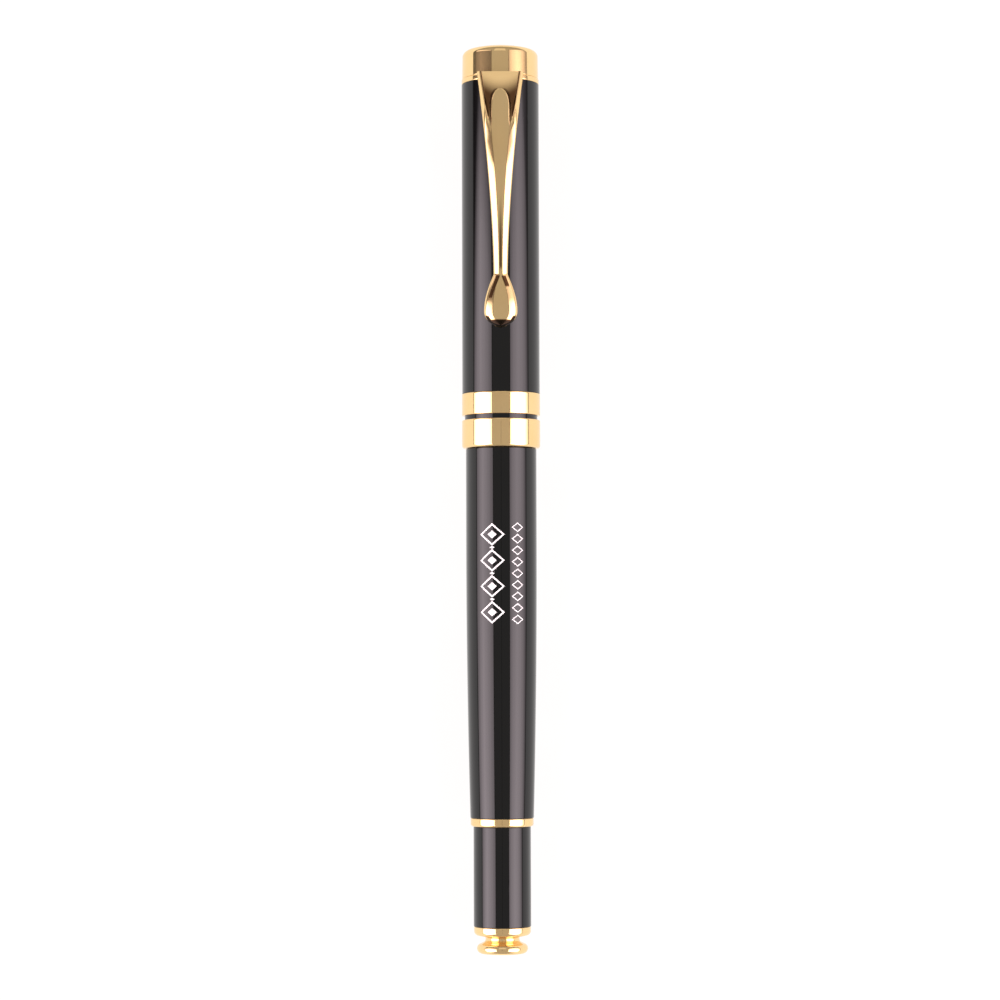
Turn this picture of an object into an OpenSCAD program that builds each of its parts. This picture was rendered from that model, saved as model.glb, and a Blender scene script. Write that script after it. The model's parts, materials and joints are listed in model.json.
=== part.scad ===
// Capped rollerball pen, lying on its side with the clip up.
// Every piece is drawn about a vertical pen axis, end knob at z = 0 and crown at the top,
// with the clip on the +y side. lay() then lays the pen down along +Y.

/* [Overall] */
// Length of the capped pen, from the end knob to the crown
pen_length = 140; // [139:0.5:142]
// Length of the cap, from its mouth to the top of the crown
cap_length = 62.7; // [62:0.1:64]

/* [Cap] */
// Radius of the cap tube
cap_r = 5.99; // [5.93:0.01:6.1]
// Height of the crown above the clip ring
crown_h = 5.3; // [5:0.1:5.6]
// Thickness of the ring that holds the clip
clip_ring_h = 0.8; // [0.6:0.05:0.9]
// Width of the band nearer the crown
upper_band_w = 3.4; // [3:0.1:4]
// Width of the band at the mouth
lower_band_w = 4.4; // [4.2:0.1:5]
// Width of the dark groove between the two bands
band_gap = 0.7; // [0.4:0.1:0.9]

/* [Clip] */
// Length of the clip, from its root to the end of the drop
clip_length = 39.2; // [37:0.1:41]
// Width of the clip at its root
clip_root_w = 7.2; // [6.6:0.1:7.6]
// Width of the clip at its neck, just above the drop
clip_neck_w = 2.2; // [2:0.1:2.4]
// Width of the drop at the end of the clip
drop_w = 5.14; // [4.8:0.02:5.3]
// Length of the drop
drop_length = 7.9; // [7.2:0.1:8.4]

/* [Barrel] */
// Radius of the barrel at its front
barrel_r = 5.44; // [5.38:0.01:5.5]
// Radius of the barrel where it meets the rear ring
barrel_rear_r = 4.87; // [4.7:0.01:5]
// Radius of the tail that the cap posts on
tail_r = 4.4; // [4.35:0.01:4.5]
// Length of the tail
tail_length = 15.2; // [14.5:0.1:16]
// Width of the gold ring between barrel and tail
rear_ring_w = 1.3; // [1:0.1:1.6]
// Length of the end knob that shows
knob_length = 4.2; // [4:0.1:4.4]

/* [Writing end] */
// Radius of the writing ball
ball_r = 0.35; // [0.35:0.01:0.36]
// Length of the refill
refill_length = 111; // [110:0.5:111.5]
// Radius of the refill
refill_r = 3.05; // [3:0.01:3.08]
// Distance from the tip of the refill to the top of the crown
tip_depth = 16.8; // [16.5:0.1:17.2]

/* [Thread] */
// Advance of the section for one turn
pitch = 1; // [0.9:0.05:1.1]

/* [Hidden] */

FULL = 96;
lacquer = "#171416";
gold = "#d9a94e";
brass = "#b08a3c";
black_plastic = "#1d1d1f";
steel = "#b9bcc0";
clear_plastic = "#cfd6d8";
ink_black = "#08080c";

// Radial gap between pieces that are assembled with each other.
fit = 0.02;
// Gap between the faces of pieces on two bodies that meet at rest.
face_gap = 0.05;

// Places along the pen axis, from the end knob up.
tail_top = knob_length + tail_length;
ring_top = tail_top + rear_ring_w;
mouth_z = pen_length - cap_length;
tip_z = pen_length - tip_depth;
refill_z = tip_z - refill_length;
crown_z = pen_length - crown_h;
tube_top = crown_z - clip_ring_h;
upper_band_z = mouth_z + lower_band_w + band_gap;
tube_shoulder = upper_band_z + upper_band_w;

// The barrel is straight at the front and swells in from here to the rear ring.
taper_z = mouth_z - 14;
band_r = cap_r + 0.04;
band_seat_r = 5.6;
cap_bore_r = 5.35;
liner_r = 3.95;
liner_bore_r = 3.5;
liner_length = 30;
barrel_bore_r = 4.2;
spigot_h = 2.2;

// Screw thread between section and barrel.
thread_root_r = 3.85;
thread_depth = 0.35;
thread_gap = 0.03;
bush_r = 4.75;
bush_top = mouth_z - 0.2;
bush_length = 6.3;
male_top = mouth_z - 0.3;
male_length = 4.7;
male_bore_r = 3.52;
columns = 36;

// Section, nose cone and refill.
nose_z = tip_z - 13;
nose_length = 8;
grip_bore_r = 3.15;
nose_bore_r = 2.1;
collar_z = mouth_z + 1.5;
groove_z = mouth_z + 3;
groove_h = 0.9;
stem_r = 1.18;
ball_z = tip_z - ball_r;
socket_gap = 0.01;

// Clip: the root is at the crown's lower edge, and t runs from there to the drop's end.
clip_top = crown_z + 0.1;
clip_hinge_z = crown_z - clip_ring_h / 2;
drop_t = clip_length - drop_length;
drop_belly = 0.71;
clip_taper = 1.67;
hump_start = 2.2;
hump_full = 8;
clip_gap = 0.05;
tang_h = clip_ring_h - 0.25;

// Lays the pen down: its axis along +Y, the clip up, and the bands on z = 0.
module lay() {
  translate([0, -pen_length / 2, band_r]) rotate([90, 0, 180]) children();
}

function mix(a, b, s) = a + (b - a) * s;
function clamp(v, low, high) = max(low, min(high, v));
function ease(s) = let(c = clamp(s, 0, 1)) c * c * (3 - 2 * c);
function arc(centre, r, from, to, steps = 6) =
  [for (i = [0:steps]) centre + r * [cos(mix(from, to, i / steps)), sin(mix(from, to, i / steps))]];

// Turns an outline of [radius, height] points about the pen axis.
module turned(outline) {
  rotate_extrude($fn = FULL) polygon(outline);
}

module sleeve(outer, inner, low, high) {
  turned([[inner, low], [outer, low], [outer, high], [inner, high]]);
}

// A ring with its outer corners rounded by `low_round` and `high_round`.
module round_ring(outer, inner, low, high, low_round, high_round) {
  turned(concat(
    [[inner, low]],
    arc([outer - low_round, low + low_round], low_round, -90, 0),
    arc([outer - high_round, high - high_round], high_round, 0, 90),
    [[inner, high]]
  ));
}

// ---- Barrel ----

function barrel_radius(z) =
  let(s = clamp((taper_z - z) / (taper_z - ring_top), 0, 1)) barrel_r - (barrel_r - barrel_rear_r) * s * s;

module barrel_tube() {
  steps = 20;
  edge = 0.12;
  color(lacquer) turned(concat(
    [[liner_r + fit, ring_top]],
    [for (i = [0:steps]) let(z = mix(ring_top, taper_z, i / steps)) [barrel_radius(z), z]],
    arc([barrel_r - edge, mouth_z - edge], edge, 0, 90, 3),
    [
      [bush_r + fit, mouth_z],
      [bush_r + fit, bush_top - bush_length - fit],
      [barrel_bore_r, bush_top - bush_length - fit],
      [barrel_bore_r, knob_length + liner_length + fit],
      [liner_r + fit, knob_length + liner_length + fit]
    ]
  ));
}

module barrel_liner() {
  color(brass) sleeve(liner_r, liner_bore_r, knob_length, knob_length + liner_length);
}

module rear_ring() {
  color(gold) round_ring(barrel_rear_r - 0.04, liner_r + fit, tail_top, ring_top, 0.36, 0.1);
}

module tail_tube() {
  color(lacquer) round_ring(tail_r, liner_r + fit, knob_length, tail_top, 0.08, 0.08);
}

module end_knob() {
  flange_r = 3.92;
  flange_round = 0.8;
  foot_r = 2.75;
  neck_r = 2.6;
  neck_round = 0.5;
  collar_r = tail_r - 0.04;
  collar_round = 0.7;
  neck_mid = 2.28;
  color(gold) turned(concat(
    [[0, 0], [foot_r, 0]],
    arc([flange_r - flange_round, flange_round + 0.06], flange_round, -75, 75, 10),
    arc([neck_r + neck_round, neck_mid], neck_round, 240, 120, 8),
    arc([collar_r - collar_round, knob_length - collar_round], collar_round, -70, 0, 8),
    arc([collar_r - 0.15, knob_length - 0.15], 0.15, 0, 90, 3),
    [
      [liner_bore_r - fit, knob_length],
      [liner_bore_r - fit, knob_length + spigot_h],
      [0, knob_length + spigot_h]
    ]
  ));
}

// ---- Helical threads ----

// A thread's section is a list of [phase, height] points over one pitch, and it fades out at both ends.
function fade(z, low, high) = clamp(min(z - low, high - z) / (0.6 * pitch), 0, 1);

// One column of thread points at angle a, from the low end to the high one.
// Points past an end are drawn back onto it, where they coincide.
function thread_column(a, ridge, base, depth, low, high) =
  let(turns = ceil((high - low) / pitch))
  [for (k = [-2:turns + 1], p = ridge)
    let(z = clamp(pitch * (k + a / 360 + p[0]) + floor(low / pitch) * pitch, low, high),
        r = base + depth * p[1] * fade(z, low, high))
    [r * cos(a), r * sin(a), z]];

function real_faces(points, faces) =
  [for (f = faces)
    if (norm(points[f[0]] - points[f[1]]) > 1e-6
        && norm(points[f[1]] - points[f[2]]) > 1e-6
        && norm(points[f[2]] - points[f[0]]) > 1e-6) f];

// A sleeve with a helical ridge on its `outside` or its inside.
// The wall on the other side is plain, of radius `plain`.
module threaded_sleeve(ridge, base, depth, plain, low, high, outside) {
  helix = [for (i = [0:columns - 1]) thread_column(360 * i / columns, ridge, base, depth, low, high)];
  rows = len(helix[0]);
  keys = len(ridge);
  walls = [for (z = [low, high], i = [0:columns - 1])
    [plain * cos(360 * i / columns), plain * sin(360 * i / columns), z]];
  points = concat([for (c = helix) each c], walls);
  first = columns * rows;
  // Row j of the last column meets row j + keys of the first one, a pitch further on.
  at = function (i, j) i < columns ? i * rows + j : min(j + keys, rows - 1);
  flip = function (f) outside ? f : [f[2], f[1], f[0]];
  quads = [for (i = [0:columns - 1], j = [0:rows - 2])
    [at(i, j), at(i, j + 1), at(i + 1, j + 1), at(i + 1, j)]];
  ends = [for (i = [0:columns - 1])
    let(n = (i + 1) % columns, top = first + columns)
    each [
      [i * rows, n * rows, first + n, first + i],
      [first + i, first + n, top + n, top + i],
      [top + i, top + n, n * rows + rows - 1, i * rows + rows - 1]
    ]];
  triangles = [for (q = concat(quads, ends)) each [flip([q[0], q[1], q[2]]), flip([q[0], q[2], q[3]])]];
  polyhedron(points, real_faces(points, triangles), convexity = 10);
}

module section_thread_bush() {
  ridge = [[0, 0], [0.3, 0], [0.5, 1], [0.8, 1]];
  color(brass) threaded_sleeve(
    ridge, thread_root_r, thread_depth, male_bore_r, male_top - male_length, male_top, true
  );
}

module barrel_thread_bush() {
  ridge = [[0.05, 1], [0.25, 1], [0.45, 0], [0.85, 0]];
  color(brass) threaded_sleeve(
    ridge, thread_root_r + thread_depth + thread_gap, -thread_depth, bush_r,
    bush_top - bush_length, bush_top, false
  );
}

// ---- Refill ----

module refill_spring() {
  wire_r = 0.24;
  coil_r = 2.55;
  turns = 5.5;
  steps_a_turn = 20;
  sides = 6;
  low = knob_length + spigot_h + wire_r + fit;
  high = refill_z - wire_r - fit;
  steps = turns * steps_a_turn;
  // The end coils lie flat, and the others share the rise.
  rise = function (s) mix(low, high, ease((s - 0.08) / 0.84));
  points = [for (i = [0:steps], k = [0:sides - 1])
    let(a = 360 * i / steps_a_turn, b = 360 * k / sides, r = coil_r + wire_r * cos(b))
    [r * cos(a), r * sin(a), rise(i / steps) + wire_r * sin(b)]];
  skin = [for (i = [0:steps - 1], k = [0:sides - 1])
    let(n = (k + 1) % sides, a = i * sides, b = a + sides)
    each [[a + k, b + n, b + k], [a + k, a + n, b + n]]];
  start = [for (k = [1:sides - 2]) [0, k + 1, k]];
  finish = [for (k = [1:sides - 2]) [steps * sides, steps * sides + k, steps * sides + k + 1]];
  color(steel) polyhedron(points, concat(skin, start, finish), convexity = 10);
}

refill_bore_r = refill_r - 0.28;
refill_tube_z = refill_z + 0.8;
nose_seat_z = tip_z - 19;
shoulder_z = nose_seat_z + 1.4;
shoulder_h = 1.6;
stem_z = tip_z - 8.4;
ink_z = refill_z + 28;
plug_r = refill_bore_r - fit;

module refill_tube() {
  color(clear_plastic) sleeve(refill_r, refill_bore_r, refill_tube_z, nose_seat_z);
}

module refill_rear_plug() {
  vent_r = 0.5;
  plug_top = refill_tube_z + 3;
  color(ink_black) turned([
    [vent_r, refill_z], [refill_r, refill_z], [refill_r, refill_tube_z],
    [plug_r, refill_tube_z], [plug_r, plug_top], [vent_r, plug_top]
  ]);
}

module refill_nose() {
  channel_r = 1;
  color(ink_black) turned([
    [channel_r, nose_seat_z - 4], [plug_r, nose_seat_z - 4], [plug_r, nose_seat_z],
    [refill_r, nose_seat_z], [refill_r, shoulder_z], [nose_bore_r - 0.1, shoulder_z + shoulder_h],
    [nose_bore_r - 0.1, stem_z], [channel_r, stem_z]
  ]);
}

module refill_tip() {
  channel_r = 0.3;
  rim_r = 0.42;
  rim_z = ball_z + 0.12;
  cone_z = tip_z - 3.4;
  color(steel) difference() {
    turned([
      [channel_r, stem_z - 3.6], [0.98, stem_z - 3.6], [0.98, stem_z], [stem_r, stem_z],
      [stem_r, cone_z], [rim_r + 0.08, ball_z - 0.25], [rim_r, rim_z], [0.1, rim_z],
      [0.1, ball_z - 0.3], [channel_r, ball_z - 0.8]
    ]);
    translate([0, 0, ball_z]) sphere(r = ball_r + socket_gap, $fn = FULL);
    translate([0, 0, ball_z - 0.5]) cylinder(r = 0.2, h = 1, $fn = FULL);
  }
}

module tip_ball() {
  color(steel) translate([0, 0, ball_z]) sphere(r = ball_r, $fn = FULL);
}

module ink_column() {
  color(ink_black) translate([0, 0, ink_z])
    cylinder(r = refill_bore_r - fit, h = nose_seat_z - 4 - fit - ink_z, $fn = FULL);
}

module ink_follower() {
  length = 4;
  color(clear_plastic) translate([0, 0, ink_z - length - fit])
    cylinder(r = refill_bore_r - fit, h = length, $fn = FULL);
}

// ---- Section ----

module section_grip() {
  seat_r = 4.42;
  rear_r = 4.82;
  waist_r = 4.25;
  front_r = 4.45;
  spigot_r = male_bore_r - fit;
  nose_spigot_r = 3.3;
  waist_z = mouth_z + 22;
  front_z = nose_z - 2.5;
  steps = 12;
  color(black_plastic) turned(concat(
    [
      [grip_bore_r, male_top - male_length - 1], [spigot_r, male_top - male_length - 1],
      [spigot_r, mouth_z + fit], [seat_r - fit, mouth_z + fit], [seat_r - fit, collar_z],
      [rear_r, collar_z], [rear_r, groove_z], [seat_r, groove_z],
      [seat_r, groove_z + groove_h], [rear_r, groove_z + groove_h]
    ],
    [for (i = [1:steps])
      let(s = i / steps) [mix(rear_r, waist_r, ease(s)), mix(groove_z + groove_h + 1, waist_z, s)]],
    [for (i = [1:steps]) let(s = i / steps) [mix(waist_r, front_r, ease(s)), mix(waist_z, front_z, s)]],
    [
      [front_r, nose_z - 0.4], [front_r - 0.15, nose_z - fit], [nose_spigot_r, nose_z - fit],
      [nose_spigot_r, nose_z + 3], [nose_bore_r, nose_z + 3],
      [nose_bore_r, shoulder_z + shoulder_h + face_gap], [grip_bore_r, shoulder_z + face_gap]
    ]
  ));
}

module section_ring() {
  color(gold) round_ring(4.95, 4.42, mouth_z + fit, collar_z - fit, 0.15, 0.2);
}

module nose_cone() {
  base_r = 4.3;
  mouth_r = 1.7;
  steps = 12;
  color(gold) turned(concat(
    [[3.32, nose_z]],
    [for (i = [0:steps])
      let(s = i / steps) [mouth_r + (base_r - mouth_r) * (1 - pow(s, 1.6)), nose_z + nose_length * s]],
    [
      [stem_r + 0.07, nose_z + nose_length], [stem_r + 0.07, stem_z + face_gap],
      [nose_bore_r, stem_z + face_gap], [nose_bore_r, nose_z + 3.1], [3.32, nose_z + 3.1]
    ]
  ));
}

module snap_ring() {
  gap_w = 1.6;
  low = groove_z + face_gap;
  high = groove_z + groove_h - face_gap;
  color(steel) difference() {
    round_ring(4.92, 4.46, low, high, 0.18, 0.18);
    translate([-gap_w / 2, -6, low - 1]) cube([gap_w, 3, groove_h + 2]);
  }
}

// ---- Cap ----

module cap_tube() {
  color(lacquer) turned([
    [cap_bore_r, mouth_z + 0.42], [band_seat_r, mouth_z + 0.42], [band_seat_r, tube_shoulder],
    [cap_r, tube_shoulder], [cap_r, tube_top], [cap_bore_r, tube_top]
  ]);
}

module inner_cap() {
  outer = cap_bore_r - fit;
  wall_z = tip_z + 7;
  wall_top = crown_z - spigot_h;
  color(black_plastic) turned([
    [4.98, mouth_z + 0.45], [outer, mouth_z + 0.45], [outer, wall_top], [1.27, wall_top],
    [1.27, wall_z], [4.6, wall_z], [4.6, nose_z - 4], [4.9, nose_z - 4.6],
    [4.9, groove_z + 4], [4.98, groove_z + 3.8]
  ]);
}

module upper_band() {
  color(gold) round_ring(band_r, band_seat_r + fit, upper_band_z, tube_shoulder - fit, 0.16, 0.1);
}

// The lower band wraps round the end of the cap tube, and its outer corner is rolled in at the mouth.
module lower_band() {
  lip_z = mouth_z + face_gap;
  roll = 0.45;
  color(gold) turned(concat(
    [[5.05, lip_z]],
    arc([band_r - roll, lip_z + roll], roll, -90, 0, 8),
    arc([band_r - 0.14, mouth_z + lower_band_w - 0.14], 0.14, 0, 90, 3),
    [[band_seat_r + fit, mouth_z + lower_band_w], [band_seat_r + fit, mouth_z + 0.4], [5.05, mouth_z + 0.4]]
  ));
}

spigot_r = 4.6;

module clip_ring() {
  slot_w = 4;
  color(gold) difference() {
    sleeve(cap_r, spigot_r + fit, tube_top, crown_z);
    translate([-slot_w / 2, 4.4, tube_top - 1]) cube([slot_w, 3, clip_ring_h + 2]);
  }
}

module crown() {
  foot_r = cap_r - 0.09;
  top_r = cap_r - 0.13;
  round_r = 1;
  dome = 0.8;
  color(gold) turned(concat(
    [
      [1.27, crown_z - spigot_h], [spigot_r, crown_z - spigot_h],
      [spigot_r, crown_z + fit], [foot_r, crown_z + fit]
    ],
    arc([top_r - round_r, pen_length - dome - round_r], round_r, 0, 75, 8),
    [for (i = [1:8]) let(s = i / 8) [(top_r - round_r) * (1 - s), pen_length - dome * (1 - s) * (1 - s)]],
    [[0, crown_z + 2.2], [1.27, crown_z + 2.2]]
  ));
}

module cap_screw() {
  wall_z = tip_z + 7;
  head_r = 2.2;
  head_h = 1.1;
  color(steel) difference() {
    union() {
      translate([0, 0, wall_z - head_h]) cylinder(r = head_r, h = head_h, $fn = FULL);
      translate([0, 0, wall_z - 0.1]) cylinder(r = 1.25, h = crown_z + 2 - wall_z + 0.1, $fn = FULL);
    }
    translate([-3, -0.3, wall_z - head_h - 0.5]) cube([6, 0.6, 1]);
  }
}

// ---- Clip ----

// Half width of the clip at distance t from its root: an arm that narrows to the neck, then the drop.
function clip_half(t) =
  let(neck = clip_neck_w / 2,
      u = (t - drop_t) / drop_length,
      v = clamp((u - drop_belly) / (1 - drop_belly), 0, 1))
  t < drop_t
    ? neck + (clip_root_w / 2 - neck) * pow(1 - t / drop_t, clip_taper)
    : u < drop_belly
      ? neck + (drop_w / 2 - neck) * sin(90 * u / drop_belly)
      : drop_w / 2 * sqrt(1 - v * v);

// How far into the drop t is: 0 along the arm, 1 at the drop's belly and 0 again at its end.
function drop_swell(t) =
  let(u = (t - drop_t) / drop_length,
      v = (min(u, 1) - drop_belly) / (1 - drop_belly))
  t < drop_t ? 0 : u < drop_belly ? ease(u / drop_belly) : sqrt(1 - v * v);

// Height of the plate, of the ridge on it and of the underside, above the pen axis.
function plate_y(t) = cap_r + 0.5 + 1.15 * ease(t / 10) - 0.5 * ease((t - 10) / 20);
function ridge_y(t) = cap_r + 0.5 + 1.85 * ease(t / 7) - 0.6 * ease((t - 8) / 22) + 0.55 * drop_swell(t);
function under_y(t) = cap_r + 0.08 + 0.95 * ease((t - 1) / 6) - 0.35 * ease((t - 9) / 21);

// Half width of the ridge, which rises out of the plate as an arch and then takes its whole width.
function hump_half(t) =
  let(s = clamp((t - hump_start) / (hump_full - hump_start), 0, 1))
  clip_half(t) * sqrt(1 - (1 - s) * (1 - s));

// Upper and lower surface of the clip at x and t.
function clip_upper(x, t) =
  let(h = hump_half(t), low = mix(plate_y(t), mix(under_y(t), ridge_y(t), 0.45), ease((t - 6) / 6)),
      s = h > 0.01 ? clamp(abs(x) / h, 0, 1) : 1)
  mix(low, max(low, ridge_y(t)), sqrt(1 - s * s));

function clip_lower(x, t) =
  let(h = max(clip_half(t), 0.01), s = clamp(abs(x) / h, 0, 1),
      round_tube = sqrt(pow(cap_r + 0.08, 2) - x * x),
      belly = mix(under_y(t), cap_r + clip_gap, drop_swell(t)),
      edge = mix(under_y(t), mix(belly, ridge_y(t), 0.5), drop_swell(t)))
  mix(round_tube, mix(edge, belly, sqrt(1 - s * s)), ease((t - 0.8) / 3));

// The clip's arm and drop, lofted from cross-sections, with the tang that sits in the clip ring.
module clip_arm() {
  across = 8;
  arm_steps = 22;
  drop_steps = 14;
  stations = concat(
    [for (i = [0:arm_steps - 1]) drop_t * i / arm_steps],
    [for (i = [0:drop_steps]) drop_t + drop_length * min(0.998, sin(90 * i / drop_steps))]
  );
  xs = [for (k = [-across:across]) sin(90 * k / across)];
  // Each cross-section runs over the top from -x to +x, then back underneath.
  loops = [for (t = stations) concat(
    [for (s = xs) let(x = s * clip_half(t)) [x, clip_upper(x, t), clip_top - t]],
    [for (k = [2 * across:-1:0]) let(x = xs[k] * clip_half(t))
      [x, min(clip_lower(x, t), clip_upper(x, t) - 0.12), clip_top - t]]
  )];
  count = len(loops[0]);
  last = len(loops) - 1;
  points = [for (l = loops) each l];
  skin = [for (i = [0:last - 1], k = [0:count - 1])
    let(n = (k + 1) % count, a = i * count, b = a + count)
    each [[a + k, b + k, b + n], [a + k, b + n, a + n]]];
  // The end caps are strips between the upper and the lower row.
  strip = function (base, turn) [for (k = [0:2 * across - 1])
    let(a = base + k, b = base + k + 1, c = base + count - 2 - k, d = base + count - 1 - k)
    each (turn ? [[a, c, b], [a, d, c]] : [[a, b, c], [a, c, d]])];
  color(gold) union() {
    polyhedron(points, concat(skin, strip(0, false), strip(last * count, true)), convexity = 6);
    translate([-1.9, spigot_r + 0.1, clip_hinge_z - tang_h / 2]) cube([3.8, 1.6, tang_h]);
  }
}

lay() barrel_tube();
lay() barrel_thread_bush();
lay() barrel_liner();
lay() rear_ring();
lay() tail_tube();
lay() end_knob();
lay() refill_spring();
lay() refill_tube();
lay() refill_rear_plug();
lay() refill_nose();
lay() refill_tip();
lay() ink_column();
lay() ink_follower();
lay() tip_ball();
lay() section_grip();
lay() section_ring();
lay() section_thread_bush();
lay() nose_cone();
lay() snap_ring();
lay() cap_tube();
lay() inner_cap();
lay() upper_band();
lay() lower_band();
lay() clip_ring();
lay() crown();
lay() cap_screw();
lay() clip_arm();
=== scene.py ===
"""Capped rollerball pen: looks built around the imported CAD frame."""
import json
import math

import bmesh
import bpy
import numpy as np
from mathutils import Matrix, Vector

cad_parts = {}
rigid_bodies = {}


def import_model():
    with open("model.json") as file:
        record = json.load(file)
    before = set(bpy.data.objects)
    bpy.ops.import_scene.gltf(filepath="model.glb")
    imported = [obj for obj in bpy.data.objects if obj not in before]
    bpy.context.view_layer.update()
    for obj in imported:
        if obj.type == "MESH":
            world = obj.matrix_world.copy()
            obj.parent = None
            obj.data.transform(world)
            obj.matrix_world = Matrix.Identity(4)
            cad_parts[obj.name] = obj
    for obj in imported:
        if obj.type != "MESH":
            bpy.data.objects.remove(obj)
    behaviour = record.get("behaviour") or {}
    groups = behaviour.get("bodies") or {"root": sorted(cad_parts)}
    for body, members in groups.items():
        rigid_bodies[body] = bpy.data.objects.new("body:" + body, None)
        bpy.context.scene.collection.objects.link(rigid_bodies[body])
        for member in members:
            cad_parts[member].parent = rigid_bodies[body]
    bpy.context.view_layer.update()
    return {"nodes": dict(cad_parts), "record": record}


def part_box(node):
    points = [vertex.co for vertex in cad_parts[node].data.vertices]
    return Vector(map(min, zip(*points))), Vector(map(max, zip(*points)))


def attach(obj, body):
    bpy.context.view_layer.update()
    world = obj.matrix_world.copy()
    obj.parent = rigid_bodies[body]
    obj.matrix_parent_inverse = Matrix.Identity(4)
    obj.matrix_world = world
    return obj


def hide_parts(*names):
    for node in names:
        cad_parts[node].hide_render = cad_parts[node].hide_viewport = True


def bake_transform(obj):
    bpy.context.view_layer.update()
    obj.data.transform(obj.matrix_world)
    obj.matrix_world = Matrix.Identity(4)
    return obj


# Blender's start-up cube, light and camera would count as part of the object.
for leftover in list(bpy.data.objects):
    bpy.data.objects.remove(leftover)

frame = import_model()

MM = 0.001
MICRON = 0.000001
# Columns of a turned piece.
SEGMENTS = 192
# The pen lies on its bands, so its axis is a band's radius above the floor.
band_low, band_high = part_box("lower_band")
AXIS_Z = (band_high.x - band_low.x) / 2
# Half the pen's length in mm.
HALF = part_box("crown")[1].y / MM
# Room in mm between a piece and the seat that it sits in.
GAP = 0.02


def span(node):
    """Lowest and highest Y of a CAD node and its radius, in mm."""
    low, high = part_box(node)
    return low.y / MM, high.y / MM, (high.x - low.x) / 2 / MM


def mix(a, b, s):
    return a + (b - a) * s


def ease(s):
    s = np.clip(s, 0.0, 1.0)
    return s * s * (3 - 2 * s)


# ---- Meshes ----

def add_mesh(name, points, faces, sharp=math.radians(38)):
    """A smooth-shaded mesh object from points in mm about the pen axis, with (x, y, z) in the row frame."""
    mesh = bpy.data.meshes.new(name)
    points = np.asarray(points, float) * MM
    points[:, 2] += AXIS_Z
    mesh.from_pydata(points.tolist(), [], [tuple(int(i) for i in f) for f in faces])
    mesh.validate()
    mesh.update()
    mesh.shade_smooth()
    mesh.set_sharp_from_angle(angle=sharp)
    obj = bpy.data.objects.new(name, mesh)
    bpy.context.scene.collection.objects.link(obj)
    return obj


def corner(a, b, c, radius, steps=5):
    """Points of the arc that rounds corner b between a and c."""
    a, b, c = (np.array(p, float) for p in (a, b, c))
    u, v = a - b, c - b
    lu, lv = np.linalg.norm(u), np.linalg.norm(v)
    if lu < 1e-9 or lv < 1e-9:
        return [tuple(b)]
    u, v = u / lu, v / lv
    half = math.acos(float(np.clip(u @ v, -1, 1))) / 2
    if radius <= 0 or half > math.radians(88) or half < math.radians(1):
        return [tuple(b)]
    reach = min(radius / math.tan(half), 0.49 * lu, 0.49 * lv)
    radius = reach * math.tan(half)
    bisector = (u + v) / np.linalg.norm(u + v)
    centre = b + bisector * radius / math.sin(half)
    start, end = b + u * reach - centre, b + v * reach - centre
    a0, a1 = math.atan2(start[1], start[0]), math.atan2(end[1], end[0])
    turn = (a1 - a0 + math.pi) % (2 * math.pi) - math.pi
    angles = [a0 + turn * k / steps for k in range(steps + 1)]
    return [tuple(centre + radius * np.array([math.cos(q), math.sin(q)])) for q in angles]


def arc(cr, cy, radius, start, end, steps=14):
    """Points of an arc about (cr, cy), angles in degrees from the outward direction."""
    return [(cr + radius * math.cos(math.radians(q)), cy + radius * math.sin(math.radians(q)))
            for q in np.linspace(start, end, steps + 1)]


def rounded(outline, closed=True):
    """Rounds the corners of [(radius, y, fillet), ...]; the fillet may be left out."""
    count = len(outline)
    out = []
    for i, point in enumerate(outline):
        fillet = point[2] if len(point) > 2 else 0.0
        if not closed and i in (0, count - 1):
            out.append(point[:2])
            continue
        out += corner(outline[i - 1][:2], point[:2], outline[(i + 1) % count][:2], fillet)
    return out


def held(line, closed):
    """Adds points near the ends of long straight stretches, so that smooth shading stays true between."""
    hold = 0.12
    out = []
    for i, (r, y) in enumerate(line):
        out.append((r, y))
        if i == len(line) - 1 and not closed:
            break
        r2, y2 = line[(i + 1) % len(line)]
        length = math.hypot(r2 - r, y2 - y)
        if length > 4 * hold:
            out += [(mix(r, r2, s), mix(y, y2, s)) for s in (hold / length, 1 - hold / length)]
    return out


def lathe(name, outline, closed=True, gap=None):
    """Turns an outline of (radius, y) in mm about the pen axis. gap=(centre, half angle), in degrees, leaves
    a slot."""
    line = held([(max(r, 0.0), y) for r, y in outline], closed)
    count = len(line)
    if gap:
        centre, half = (math.radians(v) for v in gap)
        angles = np.linspace(centre + half, centre - half + 2 * math.pi, SEGMENTS + 1)
    else:
        angles = np.arange(SEGMENTS) * 2 * math.pi / SEGMENTS
    columns = len(angles)
    points = [(r * math.sin(a), y, r * math.cos(a)) for a in angles for r, y in line]
    faces = []
    for i in range(columns - 1 if gap else columns):
        n = (i + 1) % columns
        for j in range(count if closed else count - 1):
            k = (j + 1) % count
            on_axis = line[j][0] < 1e-6, line[k][0] < 1e-6
            if all(on_axis):
                continue
            face = [i * count + j, n * count + j, n * count + k, i * count + k]
            if on_axis[0]:
                face = [j, n * count + k, i * count + k]
            elif on_axis[1]:
                face = [i * count + j, n * count + j, k]
            faces.append(face)
    if gap:
        faces.append(list(range(count)))
        faces.append(list(range((columns - 1) * count, columns * count))[::-1])
    return clean(add_mesh(name, points, faces))


def clean(obj, merge=None):
    """Joins points that are closer than merge in metres, drops points that no face uses, and turns all faces
    outwards."""
    bm = bmesh.new()
    bm.from_mesh(obj.data)
    if merge:
        bmesh.ops.remove_doubles(bm, verts=bm.verts, dist=merge)
    bmesh.ops.delete(bm, geom=[v for v in bm.verts if not v.link_faces], context="VERTS")
    bmesh.ops.recalc_face_normals(bm, faces=bm.faces)
    bm.to_mesh(obj.data)
    bm.free()
    return obj


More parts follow.
